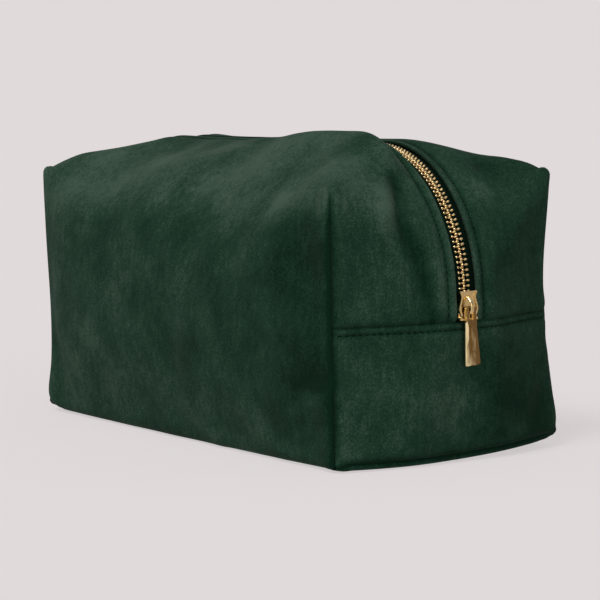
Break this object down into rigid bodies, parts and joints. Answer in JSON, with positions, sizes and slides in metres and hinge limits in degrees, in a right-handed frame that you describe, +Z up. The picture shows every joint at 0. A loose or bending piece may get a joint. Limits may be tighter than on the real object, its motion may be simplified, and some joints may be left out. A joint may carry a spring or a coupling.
{
  "type": "zip pouch",
  "caption": "Box-shaped padded velvet pouch with a metal zip that runs over the top and down both ends, and a long pull tab.",
  "frame": {"origin": "centre of the flat underside, on the plane that the pouch stands on", "axes": "+Z up, +X along the pouch towards the end where the closed zip's slider rests, +Y across the zip"},
  "size_m": [0.2837, 0.126, 0.135],
  "materials": {
    "velvet": "short-pile velvet with a soft sheen",
    "padding": "matt foam wadding",
    "lining": "satin weave",
    "zip_tape": "fine herringbone weave",
    "zip_metal": "polished pale gold",
    "slider_metal": "polished pale gold plate"
  },
  "bodies": {
    "root": {"front_panel_lower": "velvet", "back_panel_lower": "velvet", "near_end_panel": "velvet", "far_end_panel": "velvet", "bottom_panel": "velvet", "front_padding_lower": "padding", "back_padding_lower": "padding", "near_end_padding": "padding", "far_end_padding": "padding", "bottom_padding": "padding", "front_lining_lower": "lining", "back_lining_lower": "lining", "near_end_lining": "lining", "far_end_lining": "lining", "bottom_lining": "lining", "front_top_stop": "zip_metal", "back_top_stop": "zip_metal", "bottom_stop": "zip_metal"},
    "front_mouth": {"front_panel_upper": "velvet", "front_padding_upper": "padding", "front_lining_upper": "lining", "front_zip_tape": "zip_tape", "front_zip_teeth": "zip_metal"},
    "back_mouth": {"back_panel_upper": "velvet", "back_padding_upper": "padding", "back_lining_upper": "lining", "back_zip_tape": "zip_tape", "back_zip_teeth": "zip_metal"},
    "slider": {"slider_body": "slider_metal", "slider_bridge": "slider_metal"},
    "pull_tab": {"pull_tab": "slider_metal"}
  },
  "joints": [
    {"name": "front_mouth_opens", "type": "hinge", "parent": "root", "child": "front_mouth", "pos_m": [0, -0.063, 0.06], "axis": [1, 0, 0], "range_deg": [0, 20]},
    {"name": "back_mouth_opens", "type": "hinge", "parent": "root", "child": "back_mouth", "pos_m": [0, 0.063, 0.06], "axis": [-1, 0, 0], "range_deg": [0, 20]},
    {"name": "slider_travel", "type": "hinge", "parent": "front_mouth", "child": "slider", "pos_m": [0.076, 0, 0.071], "axis": [0, -1, 0], "range_deg": [0, 90]},
    {"name": "pull_tab_swing", "type": "hinge", "parent": "slider", "child": "pull_tab", "pos_m": [0.14175, 0, 0.0656], "axis": [0, -1, 0], "range_deg": [0, 165]}
  ],
  "couplings": [
    {"joint": "back_mouth_opens", "follows": "front_mouth_opens", "ratio": 1},
    {"joint": "slider_travel", "follows": "front_mouth_opens", "ratio": 4.5}
  ]
}
